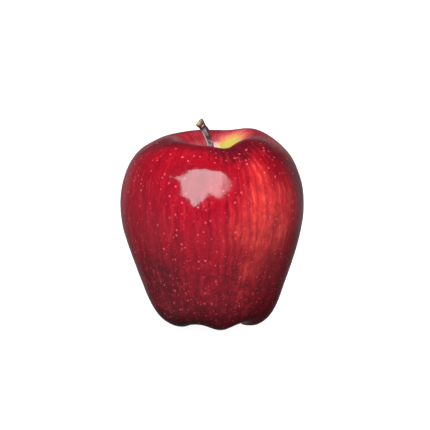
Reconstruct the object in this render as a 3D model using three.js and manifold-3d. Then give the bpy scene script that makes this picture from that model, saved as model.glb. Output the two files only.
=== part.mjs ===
// A tall red dessert apple: the fruit, the woody stem in its cavity and the dried calyx in its eye.
// Units are millimetres and +Z is up. The fruit stands on the lobes of its crown at z = 0.
// An azimuth is in degrees round the axis, from the front (-Y) towards +X.

import * as THREE from 'three';
import { mergeVertices } from 'three/addons/utils/BufferGeometryUtils.js';
import Module from 'manifold-3d';

const { degToRad, lerp, smoothstep, clamp, euclideanModulo } = THREE.MathUtils;

// ---------------------------------------------------------------- fruit dimensions

// Control points of the fruit's outline, from the calyx eye round the crown and up to the stem pit.
// Each row is a radius, a height, how far a lobe pushes the point out, and how far it lifts it.
const OUTLINE = [
  [0.0, 9.5, 0.0, 0.0], // floor of the eye, on the axis
  [4.0, 9.3, 0.0, 0.0],
  [7.2, 7.4, 0.0, -0.5], // wall of the basin
  [10.0, 4.2, 0.3, -2.6],
  [13.6, 2.0, 0.6, -3.2], // crown, which the lobes pull down to the ground
  [19.4, 2.6, 1.6, -2.4],
  [24.7, 7.4, 2.2, -0.8],
  [28.4, 17.2, 2.1, 0.0], // narrow lower flank
  [32.7, 28.5, 2.4, 0.0],
  [36.7, 40.0, 2.2, 0.0],
  [38.2, 51.0, 1.8, 0.0], // girth, 76 mm across
  [37.0, 61.6, 1.4, 0.0],
  [32.7, 71.0, 1.1, 0.4],
  [26.2, 75.6, 0.8, 1.4], // shoulder
  [19.0, 79.1, 0.6, 1.3], // rim of the stem cavity
  [12.6, 77.6, 0.2, 1.2],
  [8.0, 70.0, 0.0, 0.3], // wall of the cavity
  [4.0, 65.6, 0.0, 0.0],
  [0.0, 65.0, 0.0, 0.0], // stem pit, on the axis
];

// The five lobes. Each bulges by its own strength at the crown and at the shoulder, where the front
// one has turned into a slight hollow.
const LOBES = [
  { azimuth: 14, crown: 0.86, shoulder: -0.5 },
  { azimuth: 86, crown: 1.0, shoulder: 0.5 },
  { azimuth: 158, crown: 1.0, shoulder: 1.3 },
  { azimuth: 230, crown: 0.98, shoulder: 0.2 },
  { azimuth: 306, crown: 0.7, shoulder: 0.05 },
];
const LOBE_WIDTH = 21; // degrees from a lobe's ridge to 1/e of its strength
const LOBE_TWIST = -31; // how far a ridge turns on its way up to the shoulder
const CROWN_PART = 0.2; // share of the outline, from the eye, that belongs to the crown
const SHOULDER_PART = 0.75; // share of the outline where the shoulder's strengths hold

// A furrow in the front of the cavity's rim. It starts and ends at these shares of the outline, and is
// whole between the other two.
const FURROW = { azimuth: 20, width: 21, depth: 2.2, starts: 0.6, whole: 0.76, ebbs: 0.86, ends: 1.0 };

// The fruit leans a little: its shoulder is higher at the right and at the back.
const LEAN = { right: 0.012, back: 0.055 };
const LEAN_STARTS = 30;
const LEAN_COMPLETE = 70;

const FRUIT_COLUMNS = 80;
const FRUIT_ROWS = 52; // steps of the outline, evenly spaced in its parameter

// ---------------------------------------------------------------- stem dimensions

const STEM_PATH = [
  [0.0, 0.0, 63.2],
  [0.1, 0.2, 69.5],
  [-0.66, 0.3, 75.1],
  [-2.0, 0.2, 78.9],
  [-3.5, 0.0, 82.1],
  [-5.35, -0.2, 84.7],
];
// Share of the length, and the radius there. The top end is a knob, where the stem broke off its spur.
const STEM_RADII = [
  [0.0, 1.4],
  [0.15, 1.32],
  [0.5, 1.24],
  [0.65, 1.14],
  [0.76, 1.3],
  [0.86, 1.48],
  [0.93, 1.62],
  [1.0, 1.95],
];
const STEM_SIDES = 16;
const STEM_ROWS = 22;
const STEM_RIDGES = 4; // low ridges along the bark
const STEM_RIDGE_DEPTH = 0.06; // as a share of the radius
const STEM_RIDGE_TURN = 1.3; // radians that the ridges turn along the length
const STEM_CUT_SLOPE = 0.2; // the top face tips towards -X by this slope
const STEM_CUT_HOLLOW = 0.35; // depth of the dish in the top face
const STEM_CUT_STARTS = 0.8; // share of the length from which the cut's slope comes in

// ---------------------------------------------------------------- calyx dimensions

const CALYX_RADIUS = 2.7; // disc that carries the sepals
const CALYX_TOP = 10.6; // height of the disc's sunken face
const CALYX_BOTTOM = 8.8;
const CALYX_SIDES = 30;

const SEPAL_COUNT = 5;
const SEPAL_LENGTH = 6.6;
const SEPAL_WIDTH = 3.4;
const SEPAL_THICKNESS = 0.7;
const SEPAL_ROOT_RADIUS = 2.2;
const SEPAL_ROOT_HEIGHT = 9.1;
const SEPAL_START_ANGLE = -14; // degrees from straight down: the sepals close in first
const SEPAL_CURL = 96; // degrees that a sepal then curls outwards
const SEPAL_TIP_WIDTH = 0.1; // share of the full width that is left at the tip
const SEPAL_CHANNEL = 0.22; // how far the edges stand off the middle, as a share of the width
const SEPAL_VARIATION = 0.12; // how much length and curl differ from one sepal to the next

const STAMEN_COUNT = 7;
const STAMEN_LENGTH = 3.4;
const STAMEN_ROOT_RADIUS = 0.34;
const STAMEN_TIP_RADIUS = 0.22;
const STAMEN_SPREAD = 0.9; // radius of the outermost stamen's root
const STAMEN_TILT = 9; // degrees that the outermost stamen leans out
const GOLDEN_ANGLE = 137.508;

const GAP = 0.3; // between a piece and the socket that holds it
const STEM_SOCKET_RADIUS = STEM_RADII[0][1] * (1 + STEM_RIDGE_DEPTH) + GAP;
const STEM_SOCKET_FLOOR = STEM_PATH[0][2] - GAP;
const CALYX_SOCKET_RADIUS = CALYX_RADIUS + GAP;
const CALYX_SOCKET_ROOF = CALYX_TOP + GAP;
const SOCKET_RIM = 0.4; // least width of the first ring of flesh round a socket

// ---------------------------------------------------------------- solids

const manifold = await Module();
manifold.setup();

// Leaves only positions, merges what coincides and drops triangles that shrank to a line.
function closedGeometry(geometry) {
  geometry.deleteAttribute('normal');
  geometry.deleteAttribute('uv');
  const merged = mergeVertices(geometry);
  const corners = merged.index.array;
  const kept = [];
  for (let i = 0; i < corners.length; i += 3) {
    const [a, b, c] = [corners[i], corners[i + 1], corners[i + 2]];
    if (a !== b && b !== c && c !== a) kept.push(a, b, c);
  }
  merged.setIndex(kept);
  return merged;
}

function toSolid(geometry) {
  const closed = closedGeometry(geometry);
  return new manifold.Manifold(new manifold.Mesh({
    numProp: 3,
    vertProperties: Float32Array.from(closed.attributes.position.array),
    triVerts: Uint32Array.from(closed.index.array),
  }));
}

function toGeometry(solid) {
  const { vertProperties, triVerts } = solid.getMesh();
  const geometry = new THREE.BufferGeometry();
  geometry.setAttribute('position', new THREE.BufferAttribute(vertProperties, 3));
  geometry.setIndex(new THREE.BufferAttribute(triVerts, 1));
  return geometry;
}

// Moves every vertex of a geometry to the place that move(position) gives.
function reshape(geometry, move) {
  const positions = geometry.attributes.position;
  const place = new THREE.Vector3();
  for (let i = 0; i < positions.count; i += 1) {
    place.fromBufferAttribute(positions, i);
    positions.setXYZ(i, ...move(place, i));
  }
  return geometry;
}

// An upright cylinder between two heights.
function uprightCylinder(radius, bottom, top, sides) {
  const geometry = new THREE.CylinderGeometry(radius, radius, top - bottom, sides);
  geometry.rotateX(Math.PI / 2);
  geometry.translate(0, 0, (top + bottom) / 2);
  return geometry;
}

// ---------------------------------------------------------------- fruit

// The point before the first or after the last one, so that the outline crosses the axis smoothly.
function mirroredInAxis([radius, height, spread, lift]) {
  return [-radius, height, -spread, lift];
}

// The outline is a uniform cubic B-spline. share runs from 0 at the eye to 1 at the stem pit.
function outlineAt(share) {
  const points = [mirroredInAxis(OUTLINE[1]), ...OUTLINE, mirroredInAxis(OUTLINE.at(-2))];
  const spans = OUTLINE.length - 1;
  const span = Math.min(Math.floor(share * spans), spans - 1);
  const t = share * spans - span;
  const weights = [
    (1 - t) ** 3 / 6,
    (3 * t ** 3 - 6 * t ** 2 + 4) / 6,
    (-3 * t ** 3 + 3 * t ** 2 + 3 * t + 1) / 6,
    t ** 3 / 6,
  ];
  const blend = (column) => weights.reduce((sum, weight, k) => sum + weight * points[span + k][column], 0);
  return { radius: blend(0), height: blend(1), spread: blend(2), lift: blend(3) };
}

// 1 at a turn of 0 degrees, and less the further the turn is from it.
function bell(turn, width) {
  const offset = euclideanModulo(turn + 180, 360) - 180;
  return Math.exp(-((offset / width) ** 2));
}

// How strongly the lobes act at an azimuth and at a share of the outline.
function lobeStrength(azimuth, share) {
  const rise = smoothstep(share, CROWN_PART, SHOULDER_PART);
  return LOBES.reduce((sum, lobe) => {
    const nearness = bell(azimuth - lobe.azimuth - LOBE_TWIST * rise, LOBE_WIDTH);
    return sum + lerp(lobe.crown, lobe.shoulder, rise) * nearness;
  }, 0);
}

// How deep the furrow is, in mm.
function furrowDepth(azimuth, share) {
  const { starts, whole, ebbs, ends } = FURROW;
  const part = smoothstep(share, starts, whole) * (1 - smoothstep(share, ebbs, ends));
  return FURROW.depth * part * bell(azimuth - FURROW.azimuth, FURROW.width);
}

function fruitSurface(azimuth, share) {
  const outline = outlineAt(share);
  const lobes = lobeStrength(azimuth, share);
  const radius = outline.radius + lobes * outline.spread;
  const x = radius * Math.sin(degToRad(azimuth));
  const y = -radius * Math.cos(degToRad(azimuth));
  const height = outline.height + lobes * outline.lift - furrowDepth(azimuth, share);
  const lean = (LEAN.right * x + LEAN.back * y) * smoothstep(height, LEAN_STARTS, LEAN_COMPLETE);
  return [x, y, Math.max(height + lean, 0)];
}

// Rows of the outline that lie clear of the two sockets, each with its share of the outline.
function fleshRows() {
  const rows = [];
  for (let row = 0; row <= FRUIT_ROWS; row += 1) {
    const share = row / FRUIT_ROWS;
    const socket = share < CROWN_PART ? CALYX_SOCKET_RADIUS : STEM_SOCKET_RADIUS;
    const { radius, height } = outlineAt(share);
    if (radius > socket + SOCKET_RIM) rows.push({ radius, height, share });
  }
  return rows;
}

// The whole profile: the calyx socket, the skin, and the socket that the stem stands in.
function fruitProfile() {
  const rows = fleshRows();
  return [
    { radius: 0, height: CALYX_SOCKET_ROOF },
    { radius: CALYX_SOCKET_RADIUS, height: CALYX_SOCKET_ROOF },
    { radius: CALYX_SOCKET_RADIUS, height: rows[0].height },
    ...rows,
    { radius: STEM_SOCKET_RADIUS, height: rows.at(-1).height },
    { radius: STEM_SOCKET_RADIUS, height: STEM_SOCKET_FLOOR },
    { radius: 0, height: STEM_SOCKET_FLOOR },
  ];
}

// A lathe turned from the plain profile, whose skin then moves onto the lobed surface.
function makeFruit() {
  const profile = fruitProfile();
  const points = profile.map(({ radius, height }) => new THREE.Vector2(radius, height));
  const lathe = new THREE.LatheGeometry(points, FRUIT_COLUMNS);
  const lobed = reshape(lathe, (place, i) => {
    const { share } = profile[i % profile.length];
    const column = Math.floor(i / profile.length) % FRUIT_COLUMNS;
    if (share === undefined) return [place.x, -place.z, place.y];
    return fruitSurface((360 * column) / FRUIT_COLUMNS, share);
  });
  return closedGeometry(lobed);
}

// ---------------------------------------------------------------- stem

// Reads a value from rows of [share, value], easing from each row to the next.
function valueAt(rows, share) {
  const next = Math.max(1, rows.findIndex(([start]) => start >= share));
  const [[start, before], [end, after]] = [rows[next - 1], rows[next]];
  return lerp(before, after, smoothstep(share, start, end));
}

function stemProfile(length) {
  const profile = [new THREE.Vector2(0, 0)];
  for (let row = 0; row <= STEM_ROWS; row += 1) {
    const share = row / STEM_ROWS;
    profile.push(new THREE.Vector2(valueAt(STEM_RADII, share), share * length));
  }
  profile.push(new THREE.Vector2(STEM_RADII.at(-1)[1] / 2, length - STEM_CUT_HOLLOW));
  profile.push(new THREE.Vector2(0, length - STEM_CUT_HOLLOW));
  return profile;
}

// A straight lathe with low ridges and a sloping cut, bent along the stem's path.
function makeStem() {
  const path = new THREE.CatmullRomCurve3(STEM_PATH.map((point) => new THREE.Vector3(...point)));
  const length = path.getLength();
  const lathe = new THREE.LatheGeometry(stemProfile(length), STEM_SIDES);
  const bent = reshape(lathe, (place) => {
    const share = clamp(place.y / length, 0, 1);
    const around = Math.atan2(place.x, place.z);
    const ridge = 1 + STEM_RIDGE_DEPTH * Math.cos(STEM_RIDGES * around + STEM_RIDGE_TURN * share);
    const cut = STEM_CUT_SLOPE * place.x * smoothstep(share, STEM_CUT_STARTS, 1);
    const tangent = path.getTangentAt(share);
    const side = new THREE.Vector3(0, 1, 0).cross(tangent).normalize();
    const front = side.clone().cross(tangent);
    return path.getPointAt(share)
      .addScaledVector(side, place.x * ridge)
      .addScaledVector(front, place.z * ridge)
      .addScaledVector(tangent, place.y - share * length + cut)
      .toArray();
  });
  return closedGeometry(bent);
}

// ---------------------------------------------------------------- calyx

// One dried sepal: a pointed, channelled blade that closes in, then curls outwards.
function sepalGeometry(number) {
  const azimuth = degToRad((360 * number) / SEPAL_COUNT);
  const variation = 1 + SEPAL_VARIATION * Math.cos(2 * number + 1);
  const length = SEPAL_LENGTH * variation;
  const start = degToRad(SEPAL_START_ANGLE);
  const curl = degToRad(SEPAL_CURL) * variation;
  const blade = new THREE.BoxGeometry(1, 1, 1, 4, 9, 1);
  return reshape(blade, ({ x, y, z }) => {
    const share = y + 0.5;
    const angle = start + curl * share;
    const taper = lerp(Math.cos((share * Math.PI) / 2), SEPAL_TIP_WIDTH, share);
    const across = x * SEPAL_WIDTH * taper;
    const offset = SEPAL_THICKNESS * z + SEPAL_CHANNEL * SEPAL_WIDTH * taper * (2 * x) ** 2;
    const radius = SEPAL_ROOT_RADIUS + (length / curl) * (Math.cos(start) - Math.cos(angle))
      - offset * Math.cos(angle);
    const height = SEPAL_ROOT_HEIGHT - (length / curl) * (Math.sin(angle) - Math.sin(start))
      - offset * Math.sin(angle);
    return [
      radius * Math.sin(azimuth) + across * Math.cos(azimuth),
      -radius * Math.cos(azimuth) + across * Math.sin(azimuth),
      height,
    ];
  });
}

// One withered stamen, hanging from the disc. They spread evenly by the golden angle.
function stamenGeometry(number) {
  const share = Math.sqrt((number + 0.5) / STAMEN_COUNT);
  const stamen = new THREE.CylinderGeometry(STAMEN_ROOT_RADIUS, STAMEN_TIP_RADIUS, STAMEN_LENGTH, 5);
  stamen.translate(0, -STAMEN_LENGTH / 2, 0);
  stamen.rotateX(Math.PI / 2);
  stamen.rotateY(-degToRad(STAMEN_TILT * share));
  stamen.translate(STAMEN_SPREAD * share, 0, SEPAL_ROOT_HEIGHT);
  stamen.rotateZ(degToRad(GOLDEN_ANGLE * number));
  return stamen;
}

function makeCalyx() {
  let calyx = toSolid(uprightCylinder(CALYX_RADIUS, CALYX_BOTTOM, CALYX_TOP, CALYX_SIDES));
  for (let number = 0; number < SEPAL_COUNT; number += 1) {
    calyx = calyx.add(toSolid(sepalGeometry(number)));
  }
  for (let number = 0; number < STAMEN_COUNT; number += 1) {
    calyx = calyx.add(toSolid(stamenGeometry(number)));
  }
  return toGeometry(calyx);
}

// ---------------------------------------------------------------- the apple

function piece(name, geometry, color, roughness) {
  const material = new THREE.MeshStandardMaterial({ color, roughness, metalness: 0 });
  const mesh = new THREE.Mesh(geometry, material);
  mesh.name = name;
  return mesh;
}

const apple = new THREE.Group();
apple.add(piece('fruit', makeFruit(), 0xa81c2e, 0.25));
apple.add(piece('stem', makeStem(), 0x4a2c26, 0.7));
apple.add(piece('calyx', makeCalyx(), 0x5c4a38, 0.9));

export default apple;
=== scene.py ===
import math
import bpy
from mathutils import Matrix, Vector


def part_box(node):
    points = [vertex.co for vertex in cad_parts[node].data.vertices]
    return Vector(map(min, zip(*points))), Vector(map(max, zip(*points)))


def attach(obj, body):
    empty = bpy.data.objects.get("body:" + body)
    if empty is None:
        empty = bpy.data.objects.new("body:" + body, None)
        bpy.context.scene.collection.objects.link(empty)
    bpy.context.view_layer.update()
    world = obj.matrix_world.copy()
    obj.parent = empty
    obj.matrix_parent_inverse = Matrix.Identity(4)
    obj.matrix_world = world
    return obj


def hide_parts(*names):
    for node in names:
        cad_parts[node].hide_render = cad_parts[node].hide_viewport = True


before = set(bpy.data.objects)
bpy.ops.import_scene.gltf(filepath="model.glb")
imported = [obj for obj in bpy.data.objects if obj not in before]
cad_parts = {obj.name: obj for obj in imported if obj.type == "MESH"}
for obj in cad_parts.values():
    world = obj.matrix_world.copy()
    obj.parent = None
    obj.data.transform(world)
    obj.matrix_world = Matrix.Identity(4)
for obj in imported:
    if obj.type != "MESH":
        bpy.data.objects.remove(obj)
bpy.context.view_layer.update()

# A red apple on a pale floor: its skin, its stem and its dried calyx. Metres, +Z up.
# An azimuth is in degrees round the core, from the front (-Y) towards +X.

from types import SimpleNamespace

import bpy
import numpy as np
from mathutils import Vector

MM = 0.001

# ---------- the fruit's shape

# Control points of the outline, from the calyx eye round the crown and up to the stem pit, in mm.
# Each row is a radius, a height, how far a lobe pushes the point out, and how far it lifts it.
OUTLINE = np.array([
    [0.0, 9.5, 0.0, 0.0],
    [4.0, 9.3, 0.0, 0.0],
    [7.2, 7.4, 0.0, -0.5],
    [10.0, 4.2, 0.3, -2.6],
    [13.6, 2.0, 0.6, -3.2],
    [19.4, 2.6, 1.6, -2.4],
    [24.7, 7.4, 2.2, -0.8],
    [28.4, 17.2, 2.1, 0.0],
    [32.7, 28.5, 2.4, 0.0],
    [36.7, 40.0, 2.2, 0.0],
    [38.2, 51.0, 1.8, 0.0],
    [37.0, 61.6, 1.4, 0.0],
    [32.7, 71.0, 1.1, 0.4],
    [26.2, 75.6, 0.8, 1.4],
    [19.0, 79.1, 0.6, 1.3],
    [12.6, 77.6, 0.2, 1.2],
    [8.0, 70.0, 0.0, 0.3],
    [4.0, 65.6, 0.0, 0.0],
    [0.0, 65.0, 0.0, 0.0],
])
# The five lobes: the azimuth at the crown, and the strength at the crown and at the shoulder.
LOBES = [(14, 0.86, -0.5), (86, 1.0, 0.5), (158, 1.0, 1.3), (230, 0.98, 0.2), (306, 0.7, 0.05)]
LOBE_WIDTH = 21.0
LOBE_TWIST = -31.0
CROWN_PART = 0.2
SHOULDER_PART = 0.75
# The furrow in the front of the cavity's rim. Its four shares of the outline are where it starts,
# is whole, starts to ebb and ends.
FURROW_AZIMUTH = 20.0
FURROW_WIDTH = 21.0
FURROW_DEPTH = 2.2
FURROW_SHARES = (0.6, 0.76, 0.86, 1.0)
LEAN_RIGHT = 0.012
LEAN_BACK = 0.055
LEAN_HEIGHTS = (30.0, 70.0)

SKIN_COLUMNS = 384
SKIN_ROWS = 250
SKIN_CLEARANCE = 0.01 * MM  # how far the skin stays inside the frame's box
PIECE_CLEARANCE = 0.02 * MM  # the same for the stem and the calyx

# The skin's uneven surface: a count of waves, their shortest and longest length, and their height.
SWELLS = [(26, 9.0, 24.0, 0.09), (40, 4.0, 8.0, 0.014), (60, 2.0, 3.6, 0.007)]
SWELL_SEED = 7


def smoothstep(low, high, value):
    share = np.clip((value - low) / (high - low), 0.0, 1.0)
    return share * share * (3.0 - 2.0 * share)


def rows_of(x, y, z):
    """Three arrays of one shape as the columns of a list of points."""
    return np.stack([x, y, z], axis=-1).reshape(-1, 3)


def unit(vectors):
    return vectors / np.linalg.norm(vectors, axis=1, keepdims=True)


def angles_round(count):
    """Even angles round a circle, in radians."""
    return np.arange(count) * 2.0 * math.pi / count


def outline_at(share):
    """Radius, height, lobe spread and lobe lift along the outline, a uniform cubic B-spline."""
    mirror = np.array([-1.0, 1.0, -1.0, 1.0])
    points = np.vstack([OUTLINE[1] * mirror, OUTLINE, OUTLINE[-2] * mirror])
    spans = len(OUTLINE) - 1
    span = np.minimum((share * spans).astype(int), spans - 1)
    t = (share * spans - span)[:, None]
    return (
        (1 - t) ** 3 / 6 * points[span]
        + (3 * t**3 - 6 * t**2 + 4) / 6 * points[span + 1]
        + (-3 * t**3 + 3 * t**2 + 3 * t + 1) / 6 * points[span + 2]
        + t**3 / 6 * points[span + 3]
    )


def bell(turn, width):
    """1 at a turn of 0 degrees, and less the further the turn is from it."""
    offset = (turn + 180.0) % 360.0 - 180.0
    return np.exp(-((offset / width) ** 2))


def lobe_strength(azimuth, share):
    rise = smoothstep(CROWN_PART, SHOULDER_PART, share)
    total = 0.0
    for ridge, crown, shoulder in LOBES:
        nearness = bell(azimuth - ridge - LOBE_TWIST * rise, LOBE_WIDTH)
        total = total + (crown + (shoulder - crown) * rise) * nearness
    return total


def furrow_depth(azimuth, share):
    starts, whole, ebbs, ends = FURROW_SHARES
    part = smoothstep(starts, whole, share) * (1.0 - smoothstep(ebbs, ends, share))
    return FURROW_DEPTH * part * bell(azimuth - FURROW_AZIMUTH, FURROW_WIDTH)


def fruit_surface(azimuth, share):
    """Points of the fruit's surface in mm, one for each pair of azimuth and share."""
    radius, height, spread, lift = outline_at(share).T
    lobes = lobe_strength(azimuth, share)
    radius = radius + lobes * spread
    x = radius * np.sin(np.radians(azimuth))
    y = -radius * np.cos(np.radians(azimuth))
    height = height + lobes * lift - furrow_depth(azimuth, share)
    height = height + (LEAN_RIGHT * x + LEAN_BACK * y) * smoothstep(*LEAN_HEIGHTS, height)
    return rows_of(x, y, np.maximum(height, 0.0))


def swell(points, waves, shortest, longest, height, random):
    """A smooth uneven height over points in mm, from waves in random directions."""
    total = np.zeros(len(points))
    for _ in range(waves):
        direction = random.normal(size=3)
        direction /= np.linalg.norm(direction)
        length = random.uniform(shortest, longest)
        phase = random.uniform(0.0, 2.0 * math.pi)
        total += np.cos(points @ direction * (2.0 * math.pi / length) + phase)
    return height * total / math.sqrt(waves)


# ---------- meshes


def grid_faces(rows, columns):
    """Quads of a tube of rows of points whose last column joins the first."""
    row, column = np.meshgrid(np.arange(rows - 1), np.arange(columns), indexing="ij")
    following = (column + 1) % columns
    return np.stack([
        row * columns + column,
        row * columns + following,
        (row + 1) * columns + following,
        (row + 1) * columns + column,
    ], axis=-1).reshape(-1, 4)


def closed_tube(rows, columns):
    """Faces of a tube closed by a point at each end. The two points come after the rows."""
    start = rows * columns
    faces = [list(face) for face in grid_faces(rows, columns)]
    last = (rows - 1) * columns
    for column in range(columns):
        following = (column + 1) % columns
        faces.append([start, following, column])
        faces.append([start + 1, last + column, last + following])
    return faces


def add_to_scene(name, data):
    made = bpy.data.objects.new(name, data)
    bpy.context.scene.collection.objects.link(made)
    return made


def make_object(name, points, faces):
    """A smooth-shaded mesh object from points in metres."""
    mesh = bpy.data.meshes.new(name)
    mesh.from_pydata(points.tolist(), [], faces)
    mesh.polygons.foreach_set("use_smooth", [True] * len(mesh.polygons))
    mesh.update()
    return add_to_scene(name, mesh)


def write_attribute(made, name, vectors):
    attribute = made.data.attributes.new(name, "FLOAT_VECTOR", "POINT")
    attribute.data.foreach_set("vector", np.asarray(vectors, dtype=np.float32).ravel())


def fit_to_node(points, node, clearance):
    """Stretches points, by a hair, to fill the box of a CAD node less a clearance."""
    low, high = (np.array(corner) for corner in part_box(node))
    low = low + clearance
    high = high - clearance
    own_low, own_high = points.min(axis=0), points.max(axis=0)
    return low + (points - own_low) / (own_high - own_low) * (high - low)


def vertex_normals(points, faces):
    mesh = bpy.data.meshes.new("scratch")
    mesh.from_pydata(points.tolist(), [], faces)
    normals = np.empty(len(points) * 3, dtype=np.float32)
    mesh.vertex_normals.foreach_get("vector", normals)
    bpy.data.meshes.remove(mesh)
    return normals.reshape(-1, 3)


# ---------- skin


def skin_flow(azimuth, share):
    """Where a point is along the skin: the direction round the core, and the share of the outline."""
    turn = np.radians(azimuth)
    return rows_of(np.sin(turn), np.cos(turn), share)


def make_skin():
    inner = np.linspace(0.0, 1.0, SKIN_ROWS + 2)[1:-1]
    share = np.append(np.repeat(inner, SKIN_COLUMNS), [0.0, 1.0])
    azimuth = np.tile(np.arange(SKIN_COLUMNS) * 360.0 / SKIN_COLUMNS, SKIN_ROWS)
    azimuth = np.append(azimuth, [0.0, 0.0])
    points = fruit_surface(azimuth, share)
    faces = closed_tube(SKIN_ROWS, SKIN_COLUMNS)
    normals = vertex_normals(points, faces)
    random = np.random.default_rng(SWELL_SEED)
    relief = sum(swell(points, *waves, random) for waves in SWELLS)
    points = points + normals * relief[:, None]
    points[:, 2] = np.maximum(points[:, 2], 0.0)
    skin = make_object("skin", fit_to_node(points * MM, "fruit", SKIN_CLEARANCE), faces)
    write_attribute(skin, "skin_flow", skin_flow(azimuth, share))
    return skin


# ---------- stem

STEM_PATH = np.array([
    [0.0, 0.0, 63.2],
    [0.1, 0.2, 69.5],
    [-0.66, 0.3, 75.1],
    [-2.0, 0.2, 78.9],
    [-3.5, 0.0, 82.1],
    [-5.35, -0.2, 84.7],
])
# Share of the stem's length, and its radius there, in mm.
STEM_RADII = np.array([
    [0.0, 1.4], [0.15, 1.32], [0.5, 1.24], [0.65, 1.14],
    [0.76, 1.3], [0.86, 1.48], [0.93, 1.62], [1.0, 1.95],
])
STEM_COLUMNS = 144
STEM_ROWS = 300
STEM_CUT_ROWS = 40
STEM_RIDGES = 4
STEM_RIDGE_DEPTH = 0.06
STEM_RIDGE_TURN = 1.3
STEM_CUT_STARTS = 0.8
STEM_CUT_SLOPE = np.array([0.2, -0.16])  # how the cut face rises towards the right and the front
STEM_CUT_HOLLOW = 0.3
STEM_CUT_LIP = 0.1
STEM_SEED = 11

# Waves round the bark: numbers of crests, their largest drift along the stem in radians, and their
# height in mm. The fissures' height isn't in mm: they open where it passes one limit, fully at two.
BARK_FIBRES = (range(9, 31, 3), 26.0, 0.045)
BARK_FISSURES = ([5, 7, 11, 13], 40.0, 1.0)
BARK_WRINKLES = ([1, 2, 3, 2, 1, 3], 420.0, 0.03)
FISSURE_LIMITS = (0.9, 1.7)
FISSURE_DEPTH = 0.1

# Waves of the broken face, as in SWELLS.
CUT_SPLINTERS = (18, 0.25, 0.9, 0.09)
CUT_LUMPS = (10, 1.2, 2.6, 0.14)

# Swellings and dents of the bark: angle from the front towards the right, share of the length,
# their half widths in degrees and in share, and their height in mm.
STEM_LUMPS = [
    (75, 0.79, 50, 0.05, 0.3), (40, 0.875, 60, 0.02, -0.26), (-40, 0.88, 50, 0.02, -0.14),
    (-75, 0.97, 40, 0.03, 0.12), (90, 0.91, 45, 0.02, -0.16), (-120, 0.55, 40, 0.05, 0.1),
    (150, 0.7, 50, 0.05, 0.15), (10, 0.62, 30, 0.05, 0.08), (-160, 0.83, 60, 0.02, -0.18),
    (40, 0.33, 30, 0.04, 0.1), (170, 0.4, 30, 0.04, 0.1), (-60, 0.2, 40, 0.04, 0.08),
]


def smooth_path(points, count):
    """Even steps along a smooth curve through the points: their places and directions."""
    steps = np.linalg.norm(np.diff(points, axis=0), axis=1)
    knots = np.concatenate([[0.0], np.cumsum(steps)])
    slopes = np.gradient(points, knots, axis=0)
    at = np.linspace(0.0, knots[-1], 40 * count)
    span = np.clip(np.searchsorted(knots, at) - 1, 0, len(steps) - 1)
    width = steps[span][:, None]
    t = ((at - knots[span]) / steps[span])[:, None]
    curve = (
        (2 * t**3 - 3 * t**2 + 1) * points[span]
        + (3 * t**2 - 2 * t**3) * points[span + 1]
        + (t**3 - 2 * t**2 + t) * width * slopes[span]
        + (t**3 - t**2) * width * slopes[span + 1]
    )
    travelled = np.concatenate([[0.0], np.cumsum(np.linalg.norm(np.diff(curve, axis=0), axis=1))])
    even = np.linspace(0.0, travelled[-1], count)
    places = np.stack([np.interp(even, travelled, curve[:, axis]) for axis in range(3)], axis=1)
    return places, unit(np.gradient(places, axis=0))


def value_at(rows, share):
    """Reads rows of share and value, easing from each row to the next."""
    following = np.clip(np.searchsorted(rows[:, 0], share), 1, len(rows) - 1)
    start, before = rows[following - 1, 0], rows[following - 1, 1]
    end, after = rows[following, 0], rows[following, 1]
    return before + (after - before) * smoothstep(start, end, share)


def waves_round(angle, along, counts, turns, height, random):
    """Waves with whole numbers of crests round a form, which drift along its length."""
    total = 0.0
    for count in counts:
        drift = random.uniform(-turns, turns)
        phase = random.uniform(0.0, 2.0 * math.pi)
        total = total + np.cos(count * angle + drift * along + phase)
    return height * total / math.sqrt(len(counts))


def bark_relief(angle, share):
    """Height of the bark in mm: fibres along it, wrinkles across it, swellings and dents."""
    random = np.random.default_rng(STEM_SEED)
    fibres = waves_round(angle, share, *BARK_FIBRES, random)
    fissures = waves_round(angle, share, *BARK_FISSURES, random)
    fibres = fibres - FISSURE_DEPTH * smoothstep(*FISSURE_LIMITS, fissures)
    wrinkles = waves_round(angle, share, *BARK_WRINKLES, random)
    relief = fibres + wrinkles * (0.4 + smoothstep(0.7, 0.85, share) + smoothstep(0.2, 0.05, share))
    for turn, place, wide, long, height in STEM_LUMPS:
        near = bell(np.degrees(angle) - turn, wide) * np.exp(-(((share - place) / long) ** 2))
        relief = relief + height * near
    return relief


def cut_relief(across, ahead, reach):
    """Height of the broken top face in mm. reach is 0 in its middle and 1 at its edge."""
    random = np.random.default_rng(STEM_SEED + 1)
    places = rows_of(across, ahead, 0.0 * across)
    splinters = swell(places, *CUT_SPLINTERS, random).reshape(across.shape)
    lumps = swell(places, *CUT_LUMPS, random).reshape(across.shape)
    dish = STEM_CUT_HOLLOW * (1.0 - reach**2)
    lip = STEM_CUT_LIP * smoothstep(0.1, 1.0, across / STEM_RADII[-1, 1])
    return (splinters + lumps) * smoothstep(1.0, 0.8, reach) - dish + lip * smoothstep(1.0, 0.7, reach)


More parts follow.
